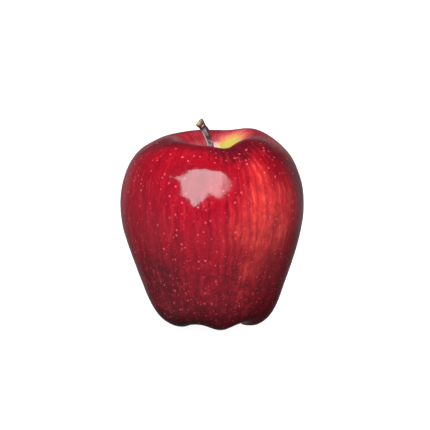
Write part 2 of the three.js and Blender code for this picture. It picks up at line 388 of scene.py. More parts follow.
def make_stem():
    share = np.concatenate([np.linspace(0.0, 1.0, STEM_ROWS), np.ones(STEM_CUT_ROWS)])
    reach = np.concatenate([np.ones(STEM_ROWS), np.linspace(1.0, 0.0, STEM_CUT_ROWS + 1)[:-1]])
    share, angle = np.meshgrid(share, angles_round(STEM_COLUMNS), indexing="ij")
    reach = np.repeat(reach[:, None], STEM_COLUMNS, axis=1)
    on_cut = np.repeat(np.arange(len(share))[:, None] >= STEM_ROWS, STEM_COLUMNS, axis=1)
    places, directions = smooth_path(STEM_PATH, STEM_ROWS)
    row = np.minimum(np.arange(len(share)), STEM_ROWS - 1)
    side = unit(np.cross([0.0, 1.0, 0.0], directions))
    front = np.cross(side, directions)
    ridge = 1.0 + STEM_RIDGE_DEPTH * np.cos(STEM_RIDGES * angle + STEM_RIDGE_TURN * share)
    radius = (value_at(STEM_RADII, share) * ridge + bark_relief(angle, share)) * reach
    across = radius * np.sin(angle)
    ahead = radius * np.cos(angle)
    slope = across * STEM_CUT_SLOPE[0] + ahead * STEM_CUT_SLOPE[1]
    slope = slope * smoothstep(STEM_CUT_STARTS, 1.0, share)
    rise = slope + np.where(on_cut, cut_relief(across, ahead, reach), 0.0)
    points = (
        places[row][:, None]
        + across[..., None] * side[row][:, None]
        + ahead[..., None] * front[row][:, None]
        + rise[..., None] * directions[row][:, None]
    ).reshape(-1, 3)
    middle = points[-STEM_COLUMNS:].mean(axis=0)
    points = np.vstack([points, places[0], middle])
    faces = closed_tube(len(share), STEM_COLUMNS)
    stem = make_object("stem_bark", fit_to_node(points * MM, "stem", PIECE_CLEARANCE), faces)
    flow = rows_of(np.sin(angle), np.cos(angle), share)
    cut = rows_of(1.0 * on_cut, across, ahead)
    write_attribute(stem, "stem_flow", np.vstack([flow, [[0.0, 0.0, 0.0], [0.0, 0.0, 1.0]]]))
    write_attribute(stem, "stem_cut", np.vstack([cut, [[0.0, 0.0, 0.0], [1.0, 0.0, 0.0]]]))
    return stem


# ---------- calyx

CALYX_RADIUS = 2.7
CALYX_TOP = 10.6
CALYX_BOTTOM = 8.8

SEPAL_COUNT = 5
SEPAL_LENGTH = 6.6
SEPAL_WIDTH = 3.4
SEPAL_THICKNESS = 0.5
SEPAL_ROOT_RADIUS = 2.2
SEPAL_ROOT_HEIGHT = 9.1
SEPAL_START_ANGLE = math.radians(-14.0)
SEPAL_CURL = math.radians(96.0)
SEPAL_TIP_WIDTH = 0.06
SEPAL_CHANNEL = 0.24
SEPAL_VARIATION = 0.12
SEPAL_MIDRIB = 0.12
SEPAL_ROWS = 90
SEPAL_COLUMNS = 56

# Waves of a sepal, as for the bark: of its width (as a share of it), its blade and its edge.
SEPAL_RAGGEDNESS = (range(9), 45.0, 0.05)
SEPAL_WRINKLES = ([1, 2, 3, 1, 2], 34.0, 0.06)
SEPAL_EDGE = ([1, 1, 2], 30.0, 0.2)

STAMEN_COUNT = 13
STAMEN_LENGTHS = (2.2, 3.6)
STAMEN_RADIUS = 0.16
ANTHER_RADIUS = 0.3
STAMEN_SPREAD = 1.5
STAMEN_TILT = math.radians(16.0)
STAMEN_BOW = 0.35
STAMEN_ROWS = 26
STAMEN_COLUMNS = 10
ANTHER_SHARE = 0.87  # where the anther's middle is along a stamen
ANTHER_HALF_SHARE = 0.125
GOLDEN_ANGLE = math.radians(137.508)

DISC_ROWS_BELOW = 30
DISC_ROWS_ABOVE = 12
DISC_COLUMNS = 90
DISC_LUMPS = (16, 0.5, 1.6, 0.1)  # as in SWELLS

HAIR_COUNT = 700
HAIR_LENGTH = 0.55
HAIR_RADIUS = 0.03

SEPAL_SEED = 5
STAMEN_SEED = 55
DISC_SEED = 205
HAIR_SEED = 405


def join_parts(parts):
    """Joins (points, faces, kind) parts. kind marks every point of a part for its material."""
    start = 0
    points, faces, kinds = [], [], []
    for part_points, part_faces, kind in parts:
        points.append(part_points)
        faces.extend([[corner + start for corner in face] for face in part_faces])
        kinds.append(np.tile(kind, (len(part_points), 1)) if np.ndim(kind) == 1 else kind)
        start += len(part_points)
    return np.vstack(points), faces, np.vstack(kinds)


def sepal_part(number):
    """One dried sepal: a pointed, channelled, wrinkled blade that closes in, then curls outwards."""
    random = np.random.default_rng(SEPAL_SEED + number)
    azimuth = 2.0 * math.pi * number / SEPAL_COUNT
    variation = 1.0 + SEPAL_VARIATION * math.cos(2 * number + 1)
    length = SEPAL_LENGTH * variation
    curl = SEPAL_CURL * variation
    share = np.linspace(0.0, 1.0, SEPAL_ROWS)
    share, turn = np.meshgrid(share, angles_round(SEPAL_COLUMNS), indexing="ij")
    x = 0.5 * np.cos(turn)
    taper = np.cos(share * math.pi / 2.0) * (1.0 - share) + SEPAL_TIP_WIDTH * share
    ragged = 1.0 + waves_round(0.0, share, *SEPAL_RAGGEDNESS, random)
    across = x * SEPAL_WIDTH * taper * ragged
    wrinkles = waves_round(x * 9.0, share, *SEPAL_WRINKLES, random)
    edge = np.abs(2.0 * x) ** 3 * waves_round(2.0 * x, share, *SEPAL_EDGE, random)
    midrib = SEPAL_MIDRIB * np.exp(-((x / 0.06) ** 2)) * np.sin(turn)
    offset = 0.5 * SEPAL_THICKNESS * np.sin(turn) * (1.0 - 0.6 * share) + midrib * (1.0 - share)
    offset = offset + SEPAL_CHANNEL * SEPAL_WIDTH * taper * (2.0 * x) ** 2
    offset = offset + (wrinkles + edge) * smoothstep(0.05, 0.3, share) * (0.3 + 0.7 * taper)
    angle = SEPAL_START_ANGLE + curl * share
    radius = SEPAL_ROOT_RADIUS + length / curl * (math.cos(SEPAL_START_ANGLE) - np.cos(angle))
    radius = radius - offset * np.cos(angle)
    height = SEPAL_ROOT_HEIGHT - length / curl * (np.sin(angle) - math.sin(SEPAL_START_ANGLE))
    height = height - offset * np.sin(angle)
    points = rows_of(
        radius * math.sin(azimuth) + across * math.cos(azimuth),
        -radius * math.cos(azimuth) + across * math.sin(azimuth),
        height,
    )
    ends = [points[:SEPAL_COLUMNS].mean(axis=0), points[-SEPAL_COLUMNS:].mean(axis=0)]
    kind = rows_of(0.0 * share, share, 2.0 * x)
    kind = np.vstack([kind, [[0.0, 0.0, 0.0], [0.0, 1.0, 0.0]]])
    return np.vstack([points, ends]), closed_tube(SEPAL_ROWS, SEPAL_COLUMNS), kind


def tube_part(path, radii, columns, kind):
    """A round tube along a path, with a radius at each of its points."""
    directions = unit(np.gradient(path, axis=0))
    side = unit(np.cross(directions, [1.0, 0.0, 0.0]))
    front = np.cross(directions, side)
    turn = angles_round(columns)
    ring = np.cos(turn)[None, :, None] * side[:, None] + np.sin(turn)[None, :, None] * front[:, None]
    points = (path[:, None] + radii[:, None, None] * ring).reshape(-1, 3)
    return np.vstack([points, path[0], path[-1]]), closed_tube(len(path), columns), kind


def stamen_part(number):
    """One withered stamen with a shrunken anther, hanging from the disc."""
    random = np.random.default_rng(STAMEN_SEED + number)
    reach = math.sqrt((number + 0.5) / STAMEN_COUNT)
    azimuth = GOLDEN_ANGLE * number
    outwards = np.array([math.cos(azimuth), math.sin(azimuth), 0.0])
    length = random.uniform(*STAMEN_LENGTHS) * (1.15 - 0.4 * reach)
    share = np.linspace(0.0, 1.0, STAMEN_ROWS)
    lean = math.tan(STAMEN_TILT) * reach
    bow = STAMEN_BOW * np.sin(share * math.pi * random.uniform(0.8, 1.6))
    sideways = np.array([-outwards[1], outwards[0], 0.0]) * random.uniform(-1.0, 1.0)
    path = outwards * STAMEN_SPREAD * reach + np.array([0.0, 0.0, CALYX_BOTTOM + 0.2])
    path = path + share[:, None] * length * (outwards * lean - np.array([0.0, 0.0, 1.0]))
    path = path + bow[:, None] * sideways
    radii = STAMEN_RADIUS * (1.0 - 0.3 * share) + 0.02 * np.sin(share * 60.0)
    anther = np.sqrt(np.maximum(0.0, 1.0 - ((share - ANTHER_SHARE) / ANTHER_HALF_SHARE) ** 2))
    radii = np.maximum(radii * (share < 0.98), anther * ANTHER_RADIUS * random.uniform(0.8, 1.2))
    return tube_part(path, np.maximum(radii, 0.02), STAMEN_COLUMNS, np.array([1.0, 0.5, 0.0]))


def disc_part():
    """The calyx's disc: a low round cushion with a flat top, rough and a little domed underneath."""
    random = np.random.default_rng(DISC_SEED)
    outwards = np.linspace(0.05, 1.0, DISC_ROWS_BELOW)
    inwards = np.linspace(1.0, 0.05, DISC_ROWS_ABOVE)
    reach = np.concatenate([outwards, inwards])
    below = np.arange(len(reach)) < DISC_ROWS_BELOW
    reach, turn = np.meshgrid(reach, angles_round(DISC_COLUMNS), indexing="ij")
    below = np.repeat(below[:, None], DISC_COLUMNS, axis=1)
    x = CALYX_RADIUS * reach * np.cos(turn)
    y = CALYX_RADIUS * reach * np.sin(turn)
    lumps = swell(rows_of(x, y, 0.0 * x), *DISC_LUMPS, random).reshape(x.shape)
    underside = CALYX_BOTTOM + 0.12 + 0.3 * reach**2 + lumps
    points = rows_of(x, y, np.where(below, underside, CALYX_TOP))
    ends = [points[:DISC_COLUMNS].mean(axis=0), points[-DISC_COLUMNS:].mean(axis=0)]
    kind = np.array([0.5, 0.2, 0.0])
    return np.vstack([points, ends]), closed_tube(len(reach), DISC_COLUMNS), kind


def hair_part(points, normals, count, random):
    """Short three-sided hairs that stand out of some of the points, bent towards the tip of the calyx."""
    chosen = random.choice(len(points), count, replace=False)
    root = points[chosen]
    lean = random.normal(size=(count, 3)) * 0.35 + np.array([0.0, 0.0, -0.5])
    out = unit(normals[chosen] + lean)
    side = unit(np.cross(out, [0.31, 0.52, 0.79]))
    front = np.cross(out, side)
    length = HAIR_LENGTH * random.uniform(0.4, 1.0, size=(count, 1))
    corners = []
    for turn in (0.0, 2.0 * math.pi / 3.0, 4.0 * math.pi / 3.0):
        corners.append(root + HAIR_RADIUS * (math.cos(turn) * side + math.sin(turn) * front))
    corners.append(root + out * length)
    joined = np.stack(corners, axis=1).reshape(-1, 3)
    faces = []
    for hair in range(count):
        a, b, c, tip = range(4 * hair, 4 * hair + 4)
        faces.extend([[a, c, b], [a, b, tip], [b, c, tip], [c, a, tip]])
    return joined, faces, np.array([2.0, 0.5, 0.0])


def make_calyx():
    random = np.random.default_rng(HAIR_SEED)
    parts = [sepal_part(number) for number in range(SEPAL_COUNT)]
    hairy_points, hairy_faces, _ = join_parts(parts)
    parts.append(disc_part())
    parts.extend(stamen_part(number) for number in range(STAMEN_COUNT))
    normals = vertex_normals(hairy_points, hairy_faces)
    parts.append(hair_part(hairy_points, normals, HAIR_COUNT, random))
    points, faces, kinds = join_parts(parts)
    calyx = make_object("calyx_leaves", fit_to_node(points * MM, "calyx", PIECE_CLEARANCE), faces)
    write_attribute(calyx, "calyx_kind", kinds)
    return calyx


# ---------- materials


class Nodes:
    """A node tree under construction. Its methods add nodes and return their outputs."""

    def __init__(self, tree):
        self.tree = tree

    def feed(self, socket, value):
        if isinstance(value, bpy.types.NodeSocket):
            self.tree.links.new(value, socket)
        else:
            socket.default_value = value

    def add(self, kind, inputs, output=0, **settings):
        node = self.tree.nodes.new(kind)
        for name, value in settings.items():
            setattr(node, name, value)
        for key, value in inputs.items():
            self.feed(node.inputs[key], value)
        return node.outputs[output]

    def add_output(self, kind, surface):
        self.feed(self.tree.nodes.new(kind).inputs["Surface"], surface)

    def attribute(self, name):
        return self.add("ShaderNodeAttribute", {}, output="Vector", attribute_name=name)

    def place(self):
        return self.add("ShaderNodeTexCoord", {}, output="Object")

    def parts(self, vector):
        node = self.tree.nodes.new("ShaderNodeSeparateXYZ")
        self.feed(node.inputs[0], vector)
        return node.outputs

    def math(self, operation, a, b=0.0):
        return self.add("ShaderNodeMath", {0: a, 1: b}, operation=operation)

    def plus(self, a, b):
        return self.math("ADD", a, b)

    def minus(self, a, b):
        return self.math("SUBTRACT", a, b)

    def times(self, a, b):
        return self.math("MULTIPLY", a, b)

    def larger(self, a, b):
        return self.math("MAXIMUM", a, b)

    def scaled(self, vector, factors):
        return self.add("ShaderNodeVectorMath", {0: vector, 1: factors}, operation="MULTIPLY")

    def shifted(self, vector, offset):
        return self.add("ShaderNodeVectorMath", {0: vector, 1: offset}, operation="ADD")

    def distance(self, vector, point):
        inputs = {0: vector, 1: point}
        return self.add("ShaderNodeVectorMath", inputs, output="Value", operation="DISTANCE")

    def dot(self, vector, other):
        inputs = {0: vector, 1: other}
        return self.add("ShaderNodeVectorMath", inputs, output="Value", operation="DOT_PRODUCT")

    def noise(self, place, scale=1.0, detail=2.0, roughness=0.5):
        inputs = {"Vector": place, "Scale": scale, "Detail": detail, "Roughness": roughness}
        return self.add("ShaderNodeTexNoise", inputs)

    def ease(self, value, low, high, start=0.0, end=1.0):
        """start up to low, end from high on, and a smooth change between. low may be the larger."""
        inputs = {"Value": value, "From Min": low, "From Max": high, "To Min": start, "To Max": end}
        return self.add("ShaderNodeMapRange", inputs, interpolation_type="SMOOTHSTEP")

    def mix(self, share, a, b):
        return self.add("ShaderNodeMix", {0: share, 6: a, 7: b}, output=2, data_type="RGBA")


class Look(Nodes):
    """A material under construction. Its colour is painted in layers, from a first one."""

    def __init__(self, name, color=None):
        self.color = color
        self.material = bpy.data.materials.new(name)
        self.material.use_nodes = True
        super().__init__(self.material.node_tree)
        self.surface = self.tree.nodes["Principled BSDF"]

    def set(self, **values):
        for name, value in values.items():
            self.feed(self.surface.inputs[name.replace("_", " ")], value)

    def paint(self, amount, color):
        self.color = self.mix(amount, self.color, color)

    def bump(self, height_mm):
        inputs = {"Height": height_mm, "Strength": 1.0, "Distance": MM}
        self.set(Normal=self.add("ShaderNodeBump", inputs))


def rgb(red, green, blue):
    """A shader colour from the usual 0 to 255 values."""
    def linear(value):
        value = value / 255.0
        return value / 12.92 if value <= 0.04045 else ((value + 0.055) / 1.055) ** 2.4
    return (linear(red), linear(green), linear(blue), 1.0)


# ---------- skin material

SHOULDER_RED = rgb(166, 11, 29)
FLANK_RED = rgb(180, 15, 38)
BASE_RED = rgb(132, 14, 33)
DEEP_RED = rgb(112, 10, 26)
MAROON = rgb(84, 10, 22)
ROSE = rgb(208, 44, 58)
ORANGE_RED = rgb(252, 66, 61)
ORANGE_LIGHT = rgb(255, 106, 88)
FRINGE_ROSE = rgb(178, 58, 68)
SALMON = rgb(202, 86, 77)
PEACH = rgb(208, 126, 88)
YELLOW = rgb(194, 168, 80)
GREEN_YELLOW = rgb(182, 168, 62)
CREAM = rgb(196, 156, 124)
RUSSET = rgb(134, 98, 56)
PINK = rgb(186, 92, 98)
DOT = rgb(240, 94, 102)

# Where the skin's colour changes, and where light and shade are painted on it. Each zone is an
# azimuth, a share of the outline, a size in mm and a strength. In the calm zones the streaks are faint.
BLUSH_ZONES = [
    (38, 0.55, 21, 1.3), (38, 0.49, 13, 0.6), (29, 0.435, 9, 0.9), (27, 0.6, 7, 0.3),
    (33, 0.655, 9, 0.6), (27, 0.375, 12, 0.25), (20, 0.51, 15, 0.4), (150, 0.55, 22, 0.8),
    (-120, 0.5, 24, 0.7),
]
CALM_ZONES = [
    (-8, 0.655, 14, 1.1), (-52, 0.56, 20, 0.65), (-40, 0.44, 18, 0.5), (-30, 0.6, 12, 0.5),
    (-4, 0.5, 18, 0.5),
]
# The bright zones are mostly the skin's own brighter patches; those low on the right are partly painted
# light thrown up by the floor.
BRIGHT_AND_LIT_ZONES = [
    (-42, 0.71, 11, 1.0), (-8, 0.735, 13, 1.1), (12, 0.58, 18, 1.0), (34, 0.66, 12, 0.8),
    (34, 0.42, 15, 0.9), (48, 0.54, 17, 0.9), (46, 0.46, 16, 0.9), (18, 0.49, 15, 0.6),
    (40, 0.37, 9, 0.6), (200, 0.62, 26, 0.9), (100, 0.66, 20, 0.6), (-95, 0.64, 18, 0.5),
    (0, 0.48, 20, 0.5),
]
# The dark zones are partly the skin's own darker patches and partly painted shade: the dark band down the
# right flank, the lip of the cavity, its back wall and the lower part.
DARK_AND_SHADE_ZONES = [
    (14, 0.75, 10, 1.4), (27, 0.738, 10, 1.3), (90, 0.56, 16, 1.2), (90, 0.45, 14, 0.9),
    (76, 0.66, 14, 1.4), (80, 0.6, 13, 1.3), (63, 0.715, 11, 1.4), (48, 0.765, 9, 1.2),
    (-42, 0.42, 18, 1.15), (-80, 0.42, 20, 0.4), (-72, 0.74, 12, 1.3), (-84, 0.68, 12, 1.0),
    (-55, 0.775, 9, 1.0), (178, 0.42, 20, 0.6), (-50, 0.6, 22, 0.35), (-12, 0.655, 10, 0.35),
    (-6, 0.42, 8, 0.5), (17, 0.435, 6, 0.55), (176, 0.82, 10, 0.8),
]

# Patterns along the skin: their scale round the fruit (twice) and along its outline, their detail
# and their roughness.
FLOW_PATTERNS = {
    "fine": ((22.0, 22.0, 16.0), 3.0, 0.6),
    "threads": ((70.0, 70.0, 40.0), 2.0, 0.5),
    "bars": ((15.0, 15.0, 3.0), 3.0, 0.5),
    "broad": ((8.0, 8.0, 9.0), 3.0, 0.55),
}

# Patterns without a direction: their scale, detail and roughness.
EVEN_PATTERNS = {
    "mottle": (330.0, 4.0, 0.65),
    "grain": (1100.0, 3.0, 0.6),
    "patches": (95.0, 3.0, 0.55),
}

# The waver bends the patterns along the skin, by this much round the fruit and along its outline.
WAVER_SCALE = 110.0
WAVER_REACH = (0.08, 0.08, 0.16)

# The pale patch of ground colour in the cavity is widest here, and dies out to the sides. Streaks
# fray its edge.
PATCH_AZIMUTH = 120.0
PATCH_FADE = 0.1
PATCH_FRAY = 0.16

# The patch's colours, inwards: the shares where each starts and is full, and how strong it is.
PATCH_COLORS = [
    (0.772, 0.8, 0.8, FRINGE_ROSE), (0.8, 0.822, 1.0, SALMON), (0.818, 0.838, 1.0, PEACH),
    (0.83, 0.85, 1.0, YELLOW), (0.845, 0.87, 0.6, GREEN_YELLOW),
]

# The foot of the fruit is dark, partly its own colour and partly painted shade, except on one side,
# and low down the gloss is weak on one side.
FOOT_BRIGHT_AZIMUTH = 72.0
DULL_AZIMUTH = 65.0

# Dots: how far apart they are and their radius, in mm. The shift gives the small ones other places.
LARGE_DOTS = (2.4, 0.5)
SMALL_DOTS = (1.35, 0.33)
SMALL_DOTS_SHIFT = (0.5, 0.2, 0.1)


def facing(look, flow, azimuth):
    """1 where the skin is at an azimuth, 0 a quarter turn away and -1 opposite."""
    turn = math.radians(azimuth)
    return look.dot(flow, (math.sin(turn), math.cos(turn), 0.0))


def zones(look, place, spots):
    """The sum of soft round zones on the skin, at most 1."""
    total = 0.0
    for azimuth, share, size, strength in spots:
        centre = fruit_surface(np.array([azimuth]), np.array([share]))[0] * MM
        apart = look.distance(place, tuple(centre))
        zone = look.ease(apart, 0.0, size * MM, strength, 0.0)
        total = look.plus(total, zone)
    return look.math("MINIMUM", total, 1.0)


def dots(look, place, spacing_mm, radius_mm, amount):
    """Soft round dots scattered through space and cut by the skin. amount, 0 to 1, scales their size."""
    inputs = {"Vector": place, "Scale": 1.0 / (spacing_mm * MM), "Randomness": 1.0}
    away = look.add("ShaderNodeTexVoronoi", inputs, output="Distance")
    picks = look.parts(away.node.outputs["Color"])
    radius = look.times(look.ease(picks[0], 0.0, 1.0, 0.5, 1.25), radius_mm / spacing_mm)
    radius = look.times(radius, amount)
    nearness = look.math("DIVIDE", away, look.larger(radius, 1e-4))
    dot = look.ease(nearness, 0.4, 1.1, 1.0, 0.0)
    return look.times(dot, look.ease(picks[1], 0.0, 1.0, 0.45, 1.0))


def skin_patterns(look):
    """What the skin's colours follow, by name: where a point is, and the patterns there."""
    place = look.place()
    inputs = {"Vector": place, "Scale": WAVER_SCALE, "Detail": 2.0}
    waver = look.add("ShaderNodeTexNoise", inputs, output="Color")
    flow = look.attribute("skin_flow")
    at = SimpleNamespace(place=place, flow=flow, share=look.parts(flow)[2])
    bent = look.shifted(look.scaled(look.shifted(waver, (-0.5, -0.5, -0.5)), WAVER_REACH), flow)
    for name, (scales, detail, roughness) in FLOW_PATTERNS.items():
        setattr(at, name, look.noise(look.scaled(bent, scales), 1.0, detail, roughness))
    for name, (scale, detail, roughness) in EVEN_PATTERNS.items():
        setattr(at, name, look.noise(place, scale, detail, roughness))
    at.streaks = streak_pattern(look, at)
    at.lively = look.minus(1.0, zones(look, place, CALM_ZONES))
    return at


def streak_pattern(look, at):
    """Streaks along the skin, about 0.5 in the middle. Low down they are fainter and speckled."""
    lines = look.plus(look.times(at.fine, 0.76), look.times(at.threads, 0.24))
    lines = look.times(look.minus(lines, 0.5), look.ease(at.share, 0.34, 0.54, 0.38, 0.64))
    speckles = look.times(look.minus(at.mottle, 0.5), look.ease(at.share, 0.6, 0.4, 0.14, 0.42))
    return look.plus(look.plus(lines, speckles), 0.5)


def paint_red(look, at):
    """Red, brightest round the girth, darker low down, with brighter and darker zones: partly painted
    light and shade.
    """
    look.paint(look.ease(at.share, 0.56, 0.68), SHOULDER_RED)
    # Darker low down: partly the skin's own colour, partly painted shade.
    look.paint(look.ease(at.share, 0.46, 0.34), BASE_RED)
    # No deep red is painted where the bright zones lie; low on the right this is partly painted light.
    plain = look.minus(1.0, zones(look, at.place, BRIGHT_AND_LIT_ZONES))
    plain = look.times(plain, look.ease(at.broad, 0.36, 0.62, 0.1, 0.5))
    plain = look.larger(plain, look.ease(at.bars, 0.48, 0.34, 0.0, 0.5))
    look.paint(plain, DEEP_RED)
    # Partly the skin's own dark patches, partly painted shade on the right flank, by the cavity and low
    # down.
    dark = zones(look, at.place, DARK_AND_SHADE_ZONES)
    dark = look.times(dark, look.ease(at.streaks, 0.38, 0.56, 0.8, 1.0))
    look.paint(look.times(dark, 0.8), MAROON)


def paint_streaks(look, at):
    """Darker and lighter streaks, fainter by the cavity and in calm zones, and a finer grain."""
    vivid = look.times(at.lively, look.ease(at.share, 0.69, 0.75, 1.0, 0.45))
    deep = look.times(vivid, look.ease(at.streaks, 0.5, 0.6, 0.0, 0.52))
    rosy = look.times(vivid, look.ease(at.streaks, 0.49, 0.4, 0.0, 0.42))
    look.paint(deep, DEEP_RED)
    look.paint(rosy, ROSE)
    look.paint(look.ease(at.grain, 0.52, 0.7, 0.0, 0.25), DEEP_RED)
    look.paint(look.ease(at.grain, 0.47, 0.3, 0.0, 0.18), ROSE)


def paint_blush(look, at):
    """An orange blush, brightest in streaks."""
    cloud = look.plus(look.times(at.streaks, 0.8), look.times(at.mottle, 0.2))
    blush = look.times(zones(look, at.place, BLUSH_ZONES), look.ease(cloud, 0.57, 0.45, 0.6, 1.0))
    blush = look.times(blush, look.ease(at.bars, 0.4, 0.58, 0.5, 1.0))
    look.paint(look.times(blush, 0.85), ORANGE_RED)
    look.paint(look.times(blush, look.ease(at.streaks, 0.47, 0.41, 0.0, 0.4)), ORANGE_LIGHT)


def paint_foot(look, at):
    """Dark and pale patches on the lower part, and a dark foot that is partly painted shade."""
    low = look.ease(at.share, 0.5, 0.36)
    blotches = look.plus(look.times(at.patches, 0.5), look.times(at.mottle, 0.5))
    blotches = look.plus(blotches, look.times(at.broad, 0.5))
    look.paint(look.times(low, look.ease(blotches, 0.7, 0.9, 0.0, 0.4)), MAROON)
    look.paint(look.times(low, look.ease(blotches, 0.7, 0.58, 0.0, 0.28)), ROSE)
    # The dark foot: partly the skin's own colour, partly painted shade, with less of it on one side.
    foot = look.ease(facing(look, at.flow, FOOT_BRIGHT_AZIMUTH), 0.2, 0.9, 0.8, 0.1)
    look.paint(look.times(foot, look.ease(at.share, 0.4, 0.24)), MAROON)


def paint_cavity(look, at):
    """A dark rim round the cavity, painted shade at its lip, and a wall that grows paler towards the
    stem.
    """
    # Painted shade along the lip of the cavity.
    rim = look.times(look.ease(at.share, 0.725, 0.765), look.ease(at.share, 0.815, 0.785))
    rim = look.times(rim, look.ease(at.streaks, 0.38, 0.56, 0.42, 0.65))
    rim = look.times(rim, look.ease(facing(look, at.flow, PATCH_AZIMUTH), 0.75, 0.97, 1.0, 0.25))
    look.paint(rim, MAROON)
    wall = look.ease(at.share, 0.79, 0.82, 0.0, 0.22)
    wall = look.larger(wall, look.ease(at.share, 0.835, 0.865, 0.0, 0.9))
    look.paint(look.times(wall, look.ease(at.streaks, 0.55, 0.45, 0.3, 1.0)), PINK)


def paint_ground(look, at):
    """The yellow-green ground colour: a patch on the cavity's wall, and the basin. The pit is russet."""
    patch = look.times(facing(look, at.flow, PATCH_AZIMUTH), PATCH_FADE)
    patch = look.plus(at.share, look.minus(patch, PATCH_FADE))
    patch = look.minus(patch, look.times(look.minus(at.streaks, 0.5), PATCH_FRAY))
    for starts, full, strength, tint in PATCH_COLORS:
        look.paint(look.ease(patch, starts, full, 0.0, strength), tint)
    look.paint(look.ease(at.share, 0.865, 0.9, 0.0, 0.8), CREAM)
    pit = look.ease(at.share, 0.895, 0.93)
    look.paint(look.times(pit, look.ease(at.streaks, 0.44, 0.56, 0.15, 0.75)), RUSSET)
    basin = look.plus(at.share, look.times(at.streaks, 0.1))
    look.paint(look.ease(basin, 0.17, 0.12, 0.0, 0.6), SALMON)
    look.paint(look.ease(basin, 0.13, 0.08, 0.0, 0.8), GREEN_YELLOW)


def skin_dots(look, at):
    """Pale dots, 1 in their middle: large ones, many small ones low down, none in the cavity."""
    large = dots(look, at.place, *LARGE_DOTS, look.ease(at.share, 0.79, 0.74))
    large = look.times(large, look.ease(at.share, 0.36, 0.5, 0.65, 0.85))
    below = look.times(look.ease(at.share, 0.62, 0.4), look.ease(at.share, 0.1, 0.16))
    small = dots(look, look.shifted(at.place, SMALL_DOTS_SHIFT), *SMALL_DOTS, below)
    return look.larger(large, look.times(small, 0.58))


def make_skin_material():
    look = Look("skin", FLANK_RED)
    at = skin_patterns(look)
    for layer in (paint_red, paint_streaks, paint_blush, paint_foot, paint_cavity, paint_ground):
        layer(look, at)
    spots = skin_dots(look, at)
    look.paint(look.times(spots, look.ease(at.lively, 0.0, 0.35)), DOT)
    dull = look.ease(facing(look, at.flow, DULL_AZIMUTH), 0.45, 0.85)
    dull = look.times(look.ease(at.share, 0.5, 0.3), dull)
    look.set(Base_Color=look.color, Roughness=look.ease(at.mottle, 0.3, 0.7, 0.08, 0.14), IOR=1.5)
    look.set(Specular_IOR_Level=look.ease(dull, 0.0, 1.0, 0.5, 0.12))
    relief = look.plus(look.times(at.streaks, 0.05), look.times(at.mottle, 0.03))
    relief = look.plus(relief, look.times(at.patches, 0.05))
    look.bump(look.plus(relief, look.times(spots, 0.012)))
    return look.material


# ---------- stem and calyx materials

BARK = rgb(66, 38, 34)
BARK_DARK = rgb(28, 16, 18)
BARK_WORN = rgb(142, 124, 132)
# Pale bark: the notch's colour, and that of the painted sheen on the left side.
BARK_PALE_AND_SHEEN = rgb(220, 180, 188)
BARK_RUST = rgb(122, 58, 34)
BARK_PURPLE = rgb(38, 22, 36)
WOOD = rgb(206, 172, 132)
WOOD_DARK = rgb(112, 66, 42)
OLIVE = rgb(134, 112, 98)

# Scales of the bark's patterns. The fibres have one round the stem (twice) and one along it.
BARK_SCALES = (9.0, 9.0, 12.0)
BARK_GRAIN_SCALE = 2400.0
BARK_PATCH_SCALE = 900.0

# Shares of the length where the rusty crease and the pale notch lie.
CREASE_SHARE = 0.95
NOTCH_SHARE = 0.915

# Angles from the front towards the right of the notch, the pale band of painted sheen and the purple
# bark.
NOTCH_TURN = 12.0
SHEEN_STRIPE_TURN = -68.0
PURPLE_TURN = -62.0

# Grey worn places: angle from the front towards the right, share of the length, half widths.
WORN_PLACES = [
    (-2, 0.78, 26, 0.09), (24, 0.56, 36, 0.1), (2, 0.3, 60, 0.2),
    (-150, 0.6, 40, 0.12), (130, 0.45, 40, 0.1),
]


def paint_bark(look, flow, patches):
    """Dark bark with rust, worn grey places and a pale left side that is a painted sheen. Returns the
    bark's fibres.
    """
    share = look.parts(flow)[2]
    fibres = look.noise(look.scaled(flow, BARK_SCALES), detail=4.0, roughness=0.65)
    look.paint(look.ease(fibres, 0.38, 0.6), BARK)
    look.paint(look.ease(patches, 0.54, 0.68, 0.0, 0.6), BARK_RUST)
    worn = 0.0
    for turn, middle, wide, long in WORN_PLACES:
        outer, inner = (math.cos(math.radians(wide * part)) for part in (1.5, 0.5))
        near = look.ease(facing(look, flow, turn), outer, inner)
        apart = look.math("ABSOLUTE", look.minus(share, middle))
        worn = look.larger(worn, look.times(near, look.ease(apart, long, long * 0.5)))
    look.paint(look.times(worn, look.ease(patches, 0.4, 0.52)), BARK_WORN)
    # A pale band down the left side: a painted sheen.
    left = look.plus(facing(look, flow, SHEEN_STRIPE_TURN), look.times(patches, 0.12))
    sheen_stripe = look.times(look.ease(left, 0.88, 0.98), look.ease(share, 0.86, 0.82))
    look.paint(look.times(sheen_stripe, 0.92), BARK_PALE_AND_SHEEN)
    foot = look.times(look.ease(share, 0.64, 0.54, 0.0, 0.6), look.ease(patches, 0.44, 0.56))
    look.paint(foot, BARK_WORN)
    return fibres


